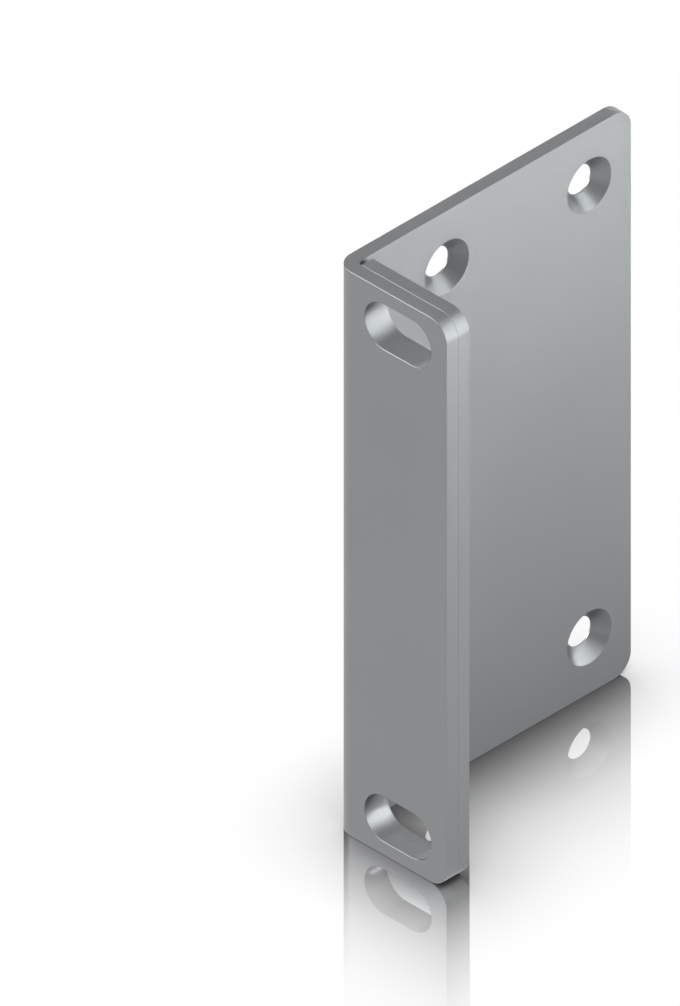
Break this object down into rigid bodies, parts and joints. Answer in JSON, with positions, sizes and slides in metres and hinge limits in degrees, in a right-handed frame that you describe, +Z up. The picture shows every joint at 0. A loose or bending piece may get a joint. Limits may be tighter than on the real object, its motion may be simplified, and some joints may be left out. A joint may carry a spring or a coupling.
{
  "type": "rack mount ear bracket",
  "caption": "Folded sheet-metal rack ear: a slotted flange with a doubler plate behind it, and a web with countersunk screw holes that bolts to the side of a rack device.",
  "frame": {"origin": "on the rack's mounting plane (the rear face of the doubler), midway between the two rack slots", "axes": "+X outwards along the flange, away from the device; +Y back into the rack; +Z up"},
  "size_m": [0.0202, 0.0513, 0.0874],
  "materials": {
    "ear_bracket": "fine satin anodised, neutral mid grey",
    "flange_doubler": "fine satin anodised, neutral mid grey"
  },
  "bodies": {
    "root": {"ear_bracket": "ear_bracket", "flange_doubler": "flange_doubler"}
  },
  "joints": []
}
